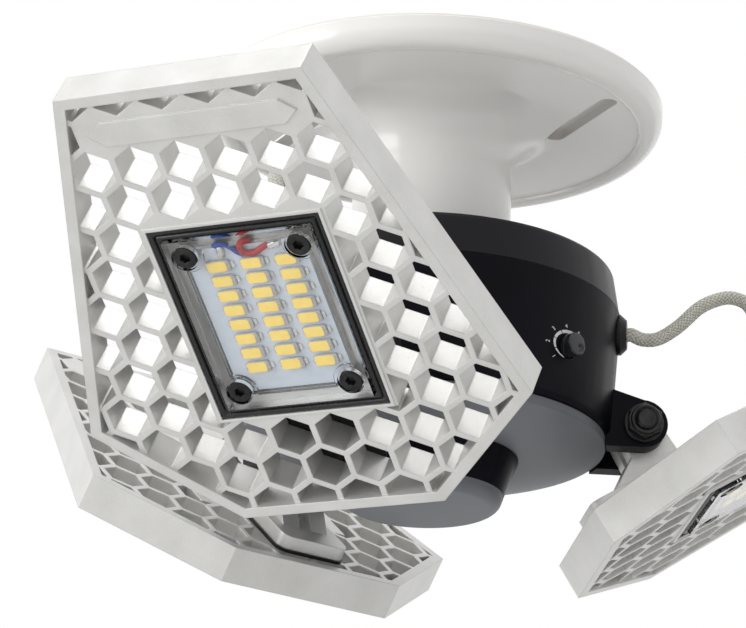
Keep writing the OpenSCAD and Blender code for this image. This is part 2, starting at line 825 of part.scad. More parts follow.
module panel_lens() {
  color([0.8, 0.9, 1, 0.5]) difference() {
    layer(-floor_t, -lens_top)
      translate([win_mid - lens_half, -lens_hw]) square([2 * lens_half, 2 * lens_hw]);
    difference() {
      layer(cut - floor_t, lens_roof - lens_top)
        translate([win_mid - lens_half + lens_wall, -lens_hw + lens_wall])
          square([2 * (lens_half - lens_wall), 2 * (lens_hw - lens_wall)]);
      at_lens_screws() rod(lens_boss_r, -lens_top, -floor_t - board_t - led_t - air);
      at_lens_screws() rod(lens_foot_r, -lens_top, -floor_t - board_t);
    }
    at_lens_screws() rod(lens_screw_r + 0.25, -lens_top - cut, cut - floor_t);
    at_lens_screws() rod(screw_head_r + 0.4, -lens_top - cut, screw_head_h - lens_top + 0.2);
  }
}

module panel_lens_screws() {
  color([0.08, 0.08, 0.08]) at_lens_screws() difference() {
    union() {
      rod(lens_screw_r, screw_head_h - lens_top, -1.3);
      rod(screw_head_r, -lens_top + 0.2, screw_head_h - lens_top + 0.2);
    }
    translate([0, 0, -lens_top - 0.3]) cylinder(r = 1.4, h = 1.6, $fn = 6);
  }
}

module panel_bracket_pad() {
  color([0.07, 0.07, 0.07]) difference() {
    layer(pad_t, 0) rounded(bracket_v0 - 0.5, bracket_v1 + 0.5, bracket_hw + 0.5, 3.5);
    at_bracket_screws() rod(lens_screw_r + 0.1, -cut, pad_t + cut);
  }
}

module panel_bracket() {
  base = pad_t + bracket_t;
  rise = pin_gap - base + 0.2;
  color([0.8, 0.8, 0.79]) difference() {
    union() {
      layer(base, pad_t) rounded(bracket_v0, bracket_v1, bracket_hw, 3);
      for (y = [lug_in, -lug_out]) translate([pin_v, 0, pin_gap]) slab(y, lug_t) {
        circle(lug_r);
        polygon([[-lug_r, 0], [-lug_r - 0.6, -rise], [lug_r + 0.6, -rise], [lug_r, 0]]);
      }
      for (y = [lug_in, -lug_out]) translate([0, 0, base - 0.2]) slab(y, lug_t)
        polygon([[pin_v - 14, 0], [pin_v - lug_r, 6], [pin_v - lug_r, 0]]);
    }
    translate([pin_v, 0, pin_gap]) rotate([90, 0, 0])
      cylinder(r = pin_d / 2 + pin_clear, h = 2 * ear_out, center = true);
    at_bracket_screws() rod(lens_screw_r + 0.1, 0, base + cut);
  }
}

module panel_bracket_screws() {
  base = pad_t + bracket_t;
  color("dimgray") at_bracket_screws() difference() {
    union() {
      rod(lens_screw_r, 1.2 - floor_t, base);
      rod(screw_head_r, base, base + bracket_head_h);
    }
    translate([0, 0, base + bracket_head_h / 2]) cylinder(r = 1.4, h = 3, $fn = 6);
  }
}

module panel_gland() {
  color([0.05, 0.05, 0.06]) translate([panel_gland_v, 0, 0]) rotate_extrude() polygon([
    [0, -floor_t + 0.5], [2.1, -floor_t + 0.5], [2.1, 0], [5, 0], [5, 1.4],
    [3.2, 2.4], [2.7, panel_gland_h], [0, panel_gland_h]
  ]);
}

// A lead, swept along its route with lead_sides corners
module panel_lead(azimuth, fold) {
  p = smooth(lead_route(fold), lead_steps);
  n = len(p);
  tangents = [for (i = [0:n - 1])
    let (d = i == 0 ? on_gland_axis(1) - on_gland_axis(0)
      : i == n - 1 ? from_pin([0, 0, -1], fold) - from_pin([0, 0, 0], fold)
      : p[i + 1] - p[i - 1]) d / norm(d)];
  rings = [for (i = [0:n - 1])
    let (t = tangents[i], a = cross([0, 1, 0], t), e = a / norm(a), f = cross(t, e))
      for (k = [0:lead_sides - 1]) let (w = 360 * k / lead_sides)
        p[i] + lead_d / 2 * (cos(w) * e + sin(w) * f)];
  m = lead_sides;
  walls = [for (i = [0:n - 2], k = [0:m - 1], h = [0, 1]) let (q = (k + 1) % m)
    h == 0 ? [i * m + k, (i + 1) * m + k, (i + 1) * m + q] : [i * m + k, (i + 1) * m + q, i * m + q]];
  ends = concat([[for (k = [0:m - 1]) k]], [[for (k = [m - 1:-1:0]) (n - 1) * m + k]]);
  color([0.75, 0.74, 0.68]) at_panel(azimuth) polyhedron(rings, concat(walls, ends));
}

lampholder_body();
screw_shell();
centre_contact();
terminal_plates();
terminal_screws();
socket_rivets();
base_shell();
base_insulator();
base_tip();
hub_lid();
lid_screws();
hub_body();
hub_glands();
bottom_cover();
sensor_pod();
pod_cap();
sensor_board();
driver_board();
driver_parts();
potentiometer();
sensitivity_knob();
pivot_bolts();
pivot_nuts();
pivot_spacers();
panel_lead(front, fold_front);  // front_lead
on_panel(front, fold_front) panel_housing();  // front_housing
on_panel(front, fold_front) panel_gasket();  // front_gasket
on_panel(front, fold_front) panel_led_board();  // front_led_board
on_panel(front, fold_front) panel_leds();  // front_leds
on_panel(front, fold_front) panel_lens();  // front_lens
on_panel(front, fold_front) panel_lens_screws();  // front_lens_screws
on_panel(front, fold_front) panel_bracket_pad();  // front_bracket_pad
on_panel(front, fold_front) panel_bracket();  // front_bracket
on_panel(front, fold_front) panel_bracket_screws();  // front_bracket_screws
on_panel(front, fold_front) panel_gland();  // front_gland
panel_lead(right, fold_right);  // right_lead
on_panel(right, fold_right) panel_housing();  // right_housing
on_panel(right, fold_right) panel_gasket();  // right_gasket
on_panel(right, fold_right) panel_led_board();  // right_led_board
on_panel(right, fold_right) panel_leds();  // right_leds
on_panel(right, fold_right) panel_lens();  // right_lens
on_panel(right, fold_right) panel_lens_screws();  // right_lens_screws
on_panel(right, fold_right) panel_bracket_pad();  // right_bracket_pad
on_panel(right, fold_right) panel_bracket();  // right_bracket
on_panel(right, fold_right) panel_bracket_screws();  // right_bracket_screws
on_panel(right, fold_right) panel_gland();  // right_gland
panel_lead(left, fold_left);  // left_lead
on_panel(left, fold_left) panel_housing();  // left_housing
on_panel(left, fold_left) panel_gasket();  // left_gasket
on_panel(left, fold_left) panel_led_board();  // left_led_board
on_panel(left, fold_left) panel_leds();  // left_leds
on_panel(left, fold_left) panel_lens();  // left_lens
on_panel(left, fold_left) panel_lens_screws();  // left_lens_screws
on_panel(left, fold_left) panel_bracket_pad();  // left_bracket_pad
on_panel(left, fold_left) panel_bracket();  // left_bracket
on_panel(left, fold_left) panel_bracket_screws();  // left_bracket_screws
on_panel(left, fold_left) panel_gland();  // left_gland
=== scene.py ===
import json
import math
import bpy
import bmesh
import numpy as np
from mathutils import Matrix, Vector


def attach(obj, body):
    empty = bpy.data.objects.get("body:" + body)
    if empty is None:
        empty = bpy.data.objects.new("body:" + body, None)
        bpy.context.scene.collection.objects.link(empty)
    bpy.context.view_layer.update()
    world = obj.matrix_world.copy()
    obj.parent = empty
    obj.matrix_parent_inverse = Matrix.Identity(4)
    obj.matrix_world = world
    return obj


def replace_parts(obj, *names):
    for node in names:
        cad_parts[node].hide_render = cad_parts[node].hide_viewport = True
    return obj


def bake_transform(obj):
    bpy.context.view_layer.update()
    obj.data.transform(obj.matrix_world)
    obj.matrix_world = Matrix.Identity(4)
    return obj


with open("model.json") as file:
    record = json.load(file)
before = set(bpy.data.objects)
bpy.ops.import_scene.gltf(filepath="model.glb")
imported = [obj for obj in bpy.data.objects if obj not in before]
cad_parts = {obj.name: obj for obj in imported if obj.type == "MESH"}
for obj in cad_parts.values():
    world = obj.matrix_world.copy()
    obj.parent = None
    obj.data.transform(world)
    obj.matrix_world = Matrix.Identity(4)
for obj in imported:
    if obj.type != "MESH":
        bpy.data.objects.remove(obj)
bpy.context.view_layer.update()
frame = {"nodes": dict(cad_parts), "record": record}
nodes = frame["nodes"]
scene = bpy.context.scene
print("frame loaded:", len(nodes), "nodes")

# Lengths are in millimetres here and become metres when a mesh is made
mm = 0.001

photoView = {"place": (0, -849.4, -358.8), "aim": (-13.5, 0, -56.4), "roll": 2.34, "lens": 176.3}


def makeCamera(view):
    data = bpy.data.cameras.new("Camera")
    data.lens, data.sensor_width = view["lens"], 36
    data.clip_start, data.clip_end = 0.05, 20
    camera = bpy.data.objects.new("Camera", data)
    scene.collection.objects.link(camera)
    scene.camera = camera
    place, aim = Vector(view["place"]) * mm, Vector(view["aim"]) * mm
    ahead = (aim - place).normalized()
    across = ahead.cross(Vector((0, 0, 1))).normalized()
    up = across.cross(ahead)
    turn = math.radians(view["roll"])
    right = math.cos(turn) * across + math.sin(turn) * up
    top = math.cos(turn) * up - math.sin(turn) * across
    camera.matrix_world = Matrix.Translation(place) @ Matrix((right, top, -ahead)).transposed().to_4x4()


makeCamera(photoView)

# materials: a wired socket that can be used in sums, and the finish it belongs to


class Wire:
    def __init__(self, finish, socket):
        self.finish, self.socket = finish, socket

    def sum(self, way, a, b=0.0):
        return self.finish.node("Math", {"operation": way}, {0: a, 1: b})

    def __add__(self, other): return self.sum("ADD", self, other)
    def __radd__(self, other): return self.sum("ADD", other, self)
    def __sub__(self, other): return self.sum("SUBTRACT", self, other)
    def __rsub__(self, other): return self.sum("SUBTRACT", other, self)
    def __mul__(self, other): return self.sum("MULTIPLY", self, other)
    def __rmul__(self, other): return self.sum("MULTIPLY", other, self)
    def __mod__(self, other): return self.sum("FLOORED_MODULO", self, other)

    def wave(self): return self.sum("SINE", self)
    def positive(self): return self.sum("ABSOLUTE", self)
    def larger(self, other): return self.sum("MAXIMUM", self, other)

    # 0 below low, 1 above high, straight between
    def rise(self, low, high):
        return self.finish.node("MapRange", {}, {"Value": self, "From Min": low, "From Max": high})


class Finish:
    def __init__(self, name, color, roughness=0.5, **fixed):
        self.material = bpy.data.materials.new(name)
        self.material.use_nodes = True
        self.material.diffuse_color = (*color[:3], 1)
        self.tree = self.material.node_tree
        self.shader = self.tree.nodes["Principled BSDF"]
        self.set("Base Color", (*color[:3], 1))
        self.set("Roughness", roughness)
        for key, value in fixed.items():
            self.set(key.replace("_", " "), value)

    # Feeds a socket of a node with a number, a colour or a wire
    def feed(self, socket, value):
        if isinstance(value, Wire):
            self.tree.links.new(value.socket, socket)
        else:
            socket.default_value = value

    def set(self, key, value):
        self.feed(self.shader.inputs[key], value)

    # Any node but the shader: its type, its settings and its sockets
    def node(self, kind, settings=None, sockets=None, out=0):
        made = self.tree.nodes.new("ShaderNode" + kind)
        for key, value in (settings or {}).items():
            if key == "stops":
                ramp = made.color_ramp
                while len(ramp.elements) < len(value):
                    ramp.elements.new(1)
                for element, (at, color) in zip(ramp.elements, value):
                    element.position, element.color = at, (*color[:3], 1)
            else:
                setattr(made, key, value)
        for key, value in (sockets or {}).items():
            self.feed(made.inputs[key], value)
        return Wire(self, made.outputs[out])

    def place(self):
        return self.node("TexCoord", out=3)

    def axes(self, point=None):
        point = point or self.place()
        return [self.node("SeparateXYZ", {}, {0: point}, out) for out in range(3)]

    # Cloudy noise from 0 to 1, with features of about size millimetres
    def noise(self, size, detail=3, stretch=None, point=None):
        point = point or self.place()
        if stretch:
            point = self.node("Mapping", {}, {"Vector": point, "Scale": stretch})
        return self.node("TexNoise", {}, {"Vector": point, "Scale": 1 / (size * mm), "Detail": detail})

    def cells(self, size, point=None):
        return self.node("TexVoronoi", {}, {"Vector": point or self.place(), "Scale": 1 / (size * mm)})

    def mix(self, share, a, b):
        sockets = {0: share}
        for key, value in ((6, a), (7, b)):
            sockets[key] = value if isinstance(value, Wire) else (*value[:3], 1)
        return self.node("Mix", {"data_type": "RGBA"}, sockets, out=2)

    # Edges shade as if rounded to a radius in millimetres
    def softEdges(self, radius):
        return self.node("Bevel", {"samples": 6}, {"Radius": radius * mm})

    # height is in millimetres
    def bump(self, height, strength=1.0, after=None):
        sockets = {"Height": height, "Distance": mm, "Strength": strength}
        if after:
            sockets["Normal"] = after
        return self.node("Bump", {}, sockets)


# shapes: every part is (points in millimetres, faces), and parts are joined into one mesh


# Faces of a grid of rows by columns; wrap joins the last column to the first
def gridFaces(rows, columns, wrap):
    r, c = np.meshgrid(np.arange(rows - 1), np.arange(columns if wrap else columns - 1), indexing="ij")
    d = (c + 1) % columns
    quads = np.stack([r * columns + c, r * columns + d, (r + 1) * columns + d, (r + 1) * columns + c], -1)
    return quads.reshape(-1, 4).tolist()


# A closed skin over a grid whose columns wrap round; each end is drawn together at its middle
def closedSkin(grid):
    rows, columns = grid.shape[:2]
    points = grid.reshape(-1, 3)
    faces = gridFaces(rows, columns, True)
    ends = np.array([grid[0].mean(0), grid[-1].mean(0)])
    first, last = rows * columns, rows * columns + 1
    near, far = np.arange(columns), (rows - 1) * columns + np.arange(columns)
    faces += np.stack([np.roll(near, -1), near, np.full(columns, first)], -1).tolist()
    faces += np.stack([far, np.roll(far, -1), np.full(columns, last)], -1).tolist()
    return outward(np.vstack([points, ends]), faces)


# Turns a closed part's faces over if its volume comes out negative
def outward(points, faces):
    tris = np.array([t for f in faces for t in ([f[:3]] if len(f) == 3 else [f[:3], [f[0], *f[2:]]])])
    a, b, c = points[tris[:, 0]], points[tris[:, 1]], points[tris[:, 2]]
    if np.einsum("ij,ij->i", a, np.cross(b, c)).sum() < 0:
        faces = [f[::-1] for f in faces]
    return points, faces


# Moves a part by a 4 x 4 matrix whose lengths are millimetres
def moved(part, matrix):
    points, faces = part
    return points @ np.array(matrix)[:3, :3].T + np.array(matrix)[:3, 3], faces


def joined(parts):
    points, faces, start = [], [], 0
    for p, f in parts:
        points.append(p)
        faces += [[i + start for i in face] for face in f]
        start += len(p)
    return np.vstack(points), faces


# One mesh from groups of (parts, finish); the corners sharper than crease degrees stay crisp
def makePiece(name, groups, body, crease=35):
    parts, finishes, marks = [], [], []
    for k, (group, finish) in enumerate(groups):
        parts += group
        finishes.append(finish)
        marks += [k] * sum(len(f) for _, f in group)
    points, faces = joined(parts)
    mesh = bpy.data.meshes.new(name)
    mesh.from_pydata((points * mm).tolist(), [], faces)
    for finish in finishes:
        mesh.materials.append(finish.material)
    mesh.polygons.foreach_set("material_index", marks)
    return addPiece(name, mesh, body, crease)


def addPiece(name, mesh, body, crease=35):
    mesh.polygons.foreach_set("use_smooth", [True] * len(mesh.polygons))
    mesh.set_sharp_from_angle(angle=math.radians(crease))
    piece = bpy.data.objects.new(name, mesh)
    scene.collection.objects.link(piece)
    if body:
        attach(piece, body)
    return piece


# A profile of (radius, height) turned round the Z axis; reach(radius, angle, row) may change each radius
def turnedGrid(profile, sides, reach=None):
    profile = np.array(profile, float)
    angle = np.linspace(0, 2 * np.pi, sides, endpoint=False)
    radius = np.repeat(profile[:, :1], sides, 1)
    if reach:
        radius = reach(radius, angle[None, :], np.arange(len(profile))[:, None])
    height = np.repeat(profile[:, 1:2], sides, 1)
    return np.stack([radius * np.cos(angle), radius * np.sin(angle), height], -1)


def turned(profile, sides=48, reach=None):
    return closedSkin(turnedGrid(profile, sides, reach))


# A ring: the profile is closed on itself, so the part has a hole along its axis
def ringSkin(profile, sides=48, reach=None):
    grid = turnedGrid(profile + profile[:1], sides, reach)[:-1]
    rows = len(grid)
    faces = gridFaces(rows + 1, sides, True)
    return outward(grid.reshape(-1, 3), [[i % (rows * sides) for i in f] for f in faces])


# A box with rounded sides: a superellipsoid, half sizes hx, hy, hz, with higher power for squarer sides
def pillow(hx, hy, hz, power=5, rows=7, columns=16):
    lift = np.linspace(-np.pi / 2, np.pi / 2, rows + 2)[1:-1, None]
    angle = (np.arange(columns) + 0.5)[None, :] * 2 * np.pi / columns

    def squared(value):
        return np.sign(value) * np.abs(value) ** (2 / power)

    grid = np.stack([
        hx * squared(np.cos(lift)) * squared(np.cos(angle)),
        hy * squared(np.cos(lift)) * squared(np.sin(angle)),
        hz * squared(np.sin(lift)) * np.ones_like(angle),
    ], -1)
    return closedSkin(grid)


# A Catmull-Rom curve through the points, set out evenly by its length
def smoothPath(points, count):
    p = np.array(points, float)
    before, after = np.vstack([p[:1], p[:-2]]), np.vstack([p[2:], p[-1:]])
    a, b, c, d = before, p[:-1], p[1:], after
    t = np.linspace(0, 1, 33)[:-1, None, None]
    run = 0.5 * (2 * b + (c - a) * t + (2 * a - 5 * b + 4 * c - d) * t**2 + (3 * b - a - 3 * c + d) * t**3)
    run = np.vstack([run.transpose(1, 0, 2).reshape(-1, 3), p[-1:]])
    length = np.concatenate([[0], np.cumsum(np.linalg.norm(np.diff(run, axis=0), axis=1))])
    at = np.linspace(0, length[-1], count)
    return np.stack([np.interp(at, length, run[:, k]) for k in range(3)], -1), length[-1]


# A round section carried along a path; radius is a number or a grid of (along, round)
def tubeGrid(path, radius, sides, across=(0, 1, 0)):
    ahead = np.gradient(path, axis=0)
    ahead /= np.linalg.norm(ahead, axis=1, keepdims=True)
    e = np.cross(np.array(across, float), ahead)
    e /= np.linalg.norm(e, axis=1, keepdims=True)
    f = np.cross(ahead, e)
    angle = np.linspace(0, 2 * np.pi, sides, endpoint=False)[None, :, None]
    radius = np.broadcast_to(radius, (len(path), sides))[..., None]
    return path[:, None] + radius * (np.cos(angle) * e[:, None] + np.sin(angle) * f[:, None])


# where the panels are

panels = {
    "front": {"azimuth": -113.3, "fold": 34.8},
    "right": {"azimuth": 6.7, "fold": 32.1},
    "left": {"azimuth": 126.7, "fold": 39.3},
}
hinge = {"radius": 52.2, "height": -84.2, "along": 26, "behind": 15}
window = {"middle": 54.5, "boardTop": -6.5, "columns": 3, "rows": 8, "across": 8.4, "along": 4.0,
          "shift": (0.5, 0.8)}


# From the frame along a panel's direction at the hub
def hubMatrix(side):
    return Matrix.Rotation(math.radians(panels[side]["azimuth"]), 4, "Z")


# From a panel's own frame: x from its hub edge outwards, y across, z out of its back
def panelMatrix(side):
    return (
        hubMatrix(side)
        @ Matrix.Translation((hinge["radius"], 0, hinge["height"]))
        @ Matrix.Rotation(math.radians(-panels[side]["fold"]), 4, "Y")
        @ Matrix.Translation((-hinge["along"], 0, -hinge["behind"]))
    )


# the braided leads

lead = {
    "diameter": 3.4, "exitAt": 49.19, "exitHeight": -61.6, "exitTurn": -13.4,
    "hubRoute": [(52, -10.6, -62.2), (56, -10, -61.4), (61, -9, -57.6), (66.6, -8, -51.8),
                 (72, -7, -48.7), (76, -6, -48), (79.6, -5, -49.4), (82, -3, -53.6)],
    "panelRoute": [(38, -1.4, 5), (35.6, -0.4, -1), (34, 0, -6.5), (34, 0, -9)],  # from the pin
    "strands": 10, "lay": 1.15, "relief": 0.11,
}


def leadPath(side, count):
    turn, fold = math.radians(lead["exitTurn"]), math.radians(panels[side]["fold"])
    start = [(r * math.cos(turn), r * math.sin(turn), lead["exitHeight"])
             for r in (lead["exitAt"], lead["exitAt"] + 1.2)]
    end = [(hinge["radius"] + x * math.cos(fold) - z * math.sin(fold), y,
            hinge["height"] + x * math.sin(fold) + z * math.cos(fold)) for x, y, z in lead["panelRoute"]]
    path, length = smoothPath(start + lead["hubRoute"] + end, count)
    return path @ np.array(hubMatrix(side).to_3x3()).T, length


def braidFinish():
    f = Finish("braid", (0.66, 0.64, 0.56), roughness=0.75, Sheen_Weight=0.3, Sheen_Roughness=0.5)
    uv = f.node("TexCoord", out=2)
    u, v, _ = f.axes(uv)
    # Two families of strands cross; each lies over the other where the chequer of the two phases is even
    along, round = v * (1 / lead["lay"]), u * lead["strands"]
    one, two = (round + along), (round - along)
    over = (((one - one % 1) + (two - two % 1)) % 2).rise(0.4, 0.6)
    crownOne, crownTwo = ((one % 1) * math.pi).wave(), ((two % 1) * math.pi).wave()
    crown = crownOne * over + crownTwo * (1 - over)
    threads = f.node("TexWhiteNoise", {"noise_dimensions": "2D"}, {"Vector": f.node(
        "CombineXYZ", {}, {0: one - one % 1, 1: two - two % 1})})
    # Painted shade: the tone darkens from each strand's crown into the grooves between strands
    tone = f.mix(crown.rise(0.1, 0.8), (0.36, 0.35, 0.29), (0.68, 0.67, 0.59))
    tone = f.mix(threads * 0.3, tone, (0.84, 0.83, 0.76))
    f.set("Base Color", f.mix(f.noise(3.5, 2).rise(0.4, 0.75) * 0.25, tone, (0.46, 0.44, 0.36)))
    f.set("Normal", f.bump(crown * 0.16))
    return f


braid = braidFinish()


def makeLead(side):
    rows, sides = 420, 40
    path, length = leadPath(side, rows)
    u = np.arange(sides)[None, :] / sides
    v = np.linspace(0, length, rows)[:, None] / lead["lay"]
    one, two = u * lead["strands"] + v, u * lead["strands"] - v
    over = (np.floor(one) + np.floor(two)) % 2 > 0.5
    crown = np.where(over, np.sin(np.pi * (one % 1)), np.sin(np.pi * (two % 1)))
    radius = lead["diameter"] / 2 - lead["relief"] * (1 - crown)
    across = np.array(hubMatrix(side).to_3x3()) @ np.array([0, 1, 0])
    part = closedSkin(tubeGrid(path, radius, sides, across))
    piece = makePiece(side + "BraidedLead", [([part], braid)], None, crease=180)
    mesh = piece.data
    # The braid's pattern follows u once round and v in millimetres along
    corner = np.zeros(len(mesh.loops), int)
    mesh.loops.foreach_get("vertex_index", corner)
    owner = np.repeat(np.arange(len(mesh.polygons)), [p.loop_total for p in mesh.polygons])
    row, column = np.minimum(corner // sides, rows - 1), corner % sides
    first = np.full(len(mesh.polygons), sides, int)
    np.minimum.at(first, owner, column)
    last = np.zeros(len(mesh.polygons), int)
    np.maximum.at(last, owner, column)
    seam = (last - first > sides / 2)[owner] & (column < sides / 2)
    uv = np.stack([(column + seam * sides) / sides, row / (rows - 1) * length], -1)
    mesh.uv_layers.new(name="Braid").data.foreach_set("uv", uv.astype(np.float32).ravel())
    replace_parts(piece, side + "_lead")
    # The lead's placing is baked into its mesh, from the gland on the hub to the panel's
    tuple(path[60] * mm)
    tuple(path[-30] * mm)
    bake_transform(piece)
    tuple(path[0] * mm)
    length * mm
    (path[::6] * mm).tolist()


for side in panels:
    makeLead(side)
print("leads braided")

# finishes


# The direction's cosine and sine are times 1000, which turns metres into millimetres
mountSlot = {"turn": (457.1, 889.4), "middle": (24.65, 28.25)}


def porcelainFinish():
    f = Finish("porcelain", (0.90, 0.89, 0.87), roughness=0.2, Coat_Weight=0.25, Coat_Roughness=0.12)
    x, y, z = f.axes()
    bare = z.rise(-0.0012, -0.0006)  # the ceiling face is left unglazed
    cloud = f.noise(26, 2).rise(0.35, 0.7)
    speck = f.noise(0.9, 2).rise(0.71, 0.78) * 0.25
    glaze = f.mix(cloud, (0.91, 0.90, 0.88), (0.885, 0.875, 0.855))
    glaze = f.mix(speck, glaze, (0.66, 0.62, 0.56))
    # Painted shade: the slots' walls are painted grey for the shade inside them, and made rougher; u runs
    # along a slot and v across, in millimetres
    (cos, sin), (middleU, middleV) = mountSlot["turn"], mountSlot["middle"]
    u, v = (x * cos - y * sin).positive(), (x * sin + y * cos).positive()
    slotPaintedShade = (u - middleU).positive().rise(15.6, 15.5) * (v - middleV).positive().rise(2.5, 2.42)
    slotPaintedShade = slotPaintedShade * z.rise(-0.0064, -0.0062) * (1 - bare)
    # Painted shade: the slots' walls are mixed towards a shaded grey
    glaze = f.mix(slotPaintedShade, glaze, (0.40, 0.38, 0.36))
    f.set("Base Color", f.mix(bare, glaze, (0.74, 0.71, 0.65)))
    f.set("Roughness", bare * 0.6 + slotPaintedShade * 0.4 + cloud * 0.05 + 0.17)
    f.set("Normal", f.bump(f.noise(14, 1) * 0.10 + f.noise(0.35, 2) * bare * 0.08))
    return f


# Moulded black plastic with a fine spark-eroded grain and faint wiping marks
def blackPlasticFinish(name, level):
    f = Finish(name, (0.003, 0.003, 0.006), roughness=0.36, Specular_IOR_Level=level)
    grain, cloud = f.noise(0.28, 2), f.noise(17, 3)
    wiped = f.noise(5, 3, stretch=(1, 1, 0.12))
    f.set("Base Color", f.mix(cloud.rise(0.3, 0.75), (0.002, 0.002, 0.004), (0.004, 0.004, 0.008)))
    f.set("Roughness", wiped.rise(0.3, 0.8) * 0.12 + grain * 0.08 + 0.27)
    f.set("Normal", f.bump(grain * 0.02 + cloud * 0.05))
    return f


def greyPlasticFinish():
    f = Finish("greyPlastic", (0.15, 0.155, 0.17), roughness=0.42, Specular_IOR_Level=0.25)
    grain, cloud = f.noise(0.3, 2), f.noise(22, 2)
    f.set("Base Color", f.mix(cloud.rise(0.3, 0.75), (0.135, 0.14, 0.155), (0.16, 0.165, 0.18)))
    f.set("Roughness", grain * 0.1 + cloud * 0.06 + 0.34)
    f.set("Normal", f.bump(grain * 0.022))
    return f


# Cast aluminium, blasted and lacquered: a sandy skin with bright points, cloudy tone and small pits
def castFinish():
    f = Finish("castAluminium", (0.66, 0.655, 0.635), roughness=0.38, Metallic=0.65)
    sand, cloud, spark = f.noise(0.32, 3), f.noise(9, 4), f.noise(0.5, 1)
    tone = f.mix(cloud.rise(0.3, 0.72), (0.62, 0.615, 0.595), (0.71, 0.705, 0.69))
    tone = f.mix(sand.rise(0.35, 0.7) * 0.3, tone, (0.78, 0.78, 0.77))
    pits = f.cells(1.7).rise(0.10, 0.04) * f.noise(3.1, 2).rise(0.52, 0.6)
    # Painted shade: the pits, sunk by the bump below, are also painted darker
    f.set("Base Color", f.mix(pits * 0.5, tone, (0.40, 0.39, 0.37)))
    f.set("Roughness", sand * 0.14 + cloud * 0.08 + 0.26)
    f.set("Metallic", spark.rise(0.5, 0.75) * 0.25 + 0.45)
    f.set("Normal", f.bump(sand * 0.045 + cloud * 0.05 - pits * 0.06, after=f.softEdges(0.42)))
    return f


def rubberFinish(name, roughness, level):
    f = Finish(name, (0.006, 0.006, 0.008), roughness=roughness, Specular_IOR_Level=level)
    grain, dust = f.noise(0.4, 3), f.noise(3.5, 3).rise(0.5, 0.8)
    f.set("Base Color", f.mix(dust * 0.4, (0.005, 0.005, 0.006), (0.02, 0.02, 0.021)))
    f.set("Roughness", grain * 0.15 + dust * 0.15 + roughness - 0.1)
    f.set("Normal", f.bump(grain * 0.03))
    return f


# Metals: a plated or turned skin with a fine grain and a cloudy tone
def metalFinish(name, light, dark, roughness, metallic=1.0, grain=0.02):
    f = Finish(name, light, roughness=roughness, Metallic=metallic)
    cloud, fine = f.noise(2.6, 3), f.noise(0.18, 2)
    f.set("Base Color", f.mix(cloud.rise(0.35, 0.7), light, dark))
    f.set("Roughness", fine * 0.14 + cloud * 0.1 + roughness - 0.1)
    f.set("Normal", f.bump(fine * grain))
    return f


# The light board: blue-white solder resist over copper fields whose edges show as faint steps
def boardFinish():
    f = Finish("lightBoard", (0.78, 0.86, 0.95), roughness=0.3)
    uv = f.node("TexCoord", out=2)
    x, y, _ = f.axes(uv)
    fields = (y + 2.1).positive().rise(8.55, 8.4) * (x.positive()).rise(17.2, 17.05)
    gaps = ((x % 4.0) - 2.0).positive().rise(0.22, 0.12) * (((y + 4.2) % 8.4) - 4.2).positive().rise(1.2, 1.3)
    step = fields - gaps * 0.8
    tone = f.mix(f.noise(6, 3).rise(0.3, 0.7), (0.76, 0.84, 0.94), (0.81, 0.88, 0.97))
    f.set("Base Color", f.mix(step * 0.25, tone, (0.84, 0.91, 0.99)))
    f.set("Roughness", f.noise(0.5, 2) * 0.12 + 0.24)
    f.set("Normal", f.bump(step * 0.05))
    return f


def phosphorFinish():
    # The faint emission is a painted glow: the LEDs are unlit, and it brightens the phosphor where it lies in
    # shade
    f = Finish("phosphor", (1.0, 0.72, 0.17), roughness=0.35, Emission_Strength=0.22)
    grain, cloud = f.noise(0.22, 3), f.noise(2.4, 1)
    tone = f.mix(cloud, (1.0, 0.66, 0.11), (1.0, 0.79, 0.21))
    tone = f.mix(grain.rise(0.4, 0.75) * 0.3, tone, (1.0, 0.88, 0.38))
    f.set("Base Color", tone)
    f.set("Emission Color", tone)
    f.set("Roughness", grain * 0.2 + 0.22)
    f.set("Normal", f.bump(grain * 0.012))
    return f


def plainFinish(name, light, dark, roughness=0.45, size=1.2, bump=0.01):
    f = Finish(name, light, roughness=roughness)
    cloud = f.noise(size, 3)
    f.set("Base Color", f.mix(cloud.rise(0.35, 0.7), light, dark))
    f.set("Roughness", cloud * 0.16 + roughness - 0.08)
    f.set("Normal", f.bump(cloud * bump))
    return f


def lensFinish():
    f = Finish("clearLens", (0.99, 0.995, 1.0), roughness=0.04, Transmission_Weight=1.0, IOR=1.46)
    f.set("Roughness", f.noise(7, 2).rise(0.35, 0.8) * 0.04 + 0.02)
    # Lamp light goes straight through to the board
    through = f.node("BsdfTransparent", {}, {0: (0.98, 0.99, 1.0, 1)})
    shadow = f.node("LightPath", out=1)
    both = f.node("MixShader", {}, {0: shadow, 1: Wire(f, f.shader.outputs[0]), 2: through})
    f.feed(f.tree.nodes["Material Output"].inputs[0], both)
    return f


def circuitFinish():
    f = Finish("circuitBoard", (0.03, 0.16, 0.07), roughness=0.35)
    x, y, _ = f.axes()
    lane = (x * (1 / (2.1 * mm)) + f.noise(9, 0) * 2) % 1
    cross = (y * (1 / (2.9 * mm)) + f.noise(7, 0) * 2) % 1
    track = (lane - 0.5).positive().rise(0.2, 0.17).larger((cross - 0.5).positive().rise(0.14, 0.11))
    pads = f.cells(3).rise(0.2, 0.17)
    tone = f.mix(track, (0.02, 0.12, 0.05), (0.05, 0.23, 0.10))
    f.set("Base Color", f.mix(pads, tone, (0.62, 0.60, 0.55)))
    f.set("Roughness", 0.42 - track * 0.12)
    f.set("Normal", f.bump(track * 0.03 + pads * 0.05))
    return f


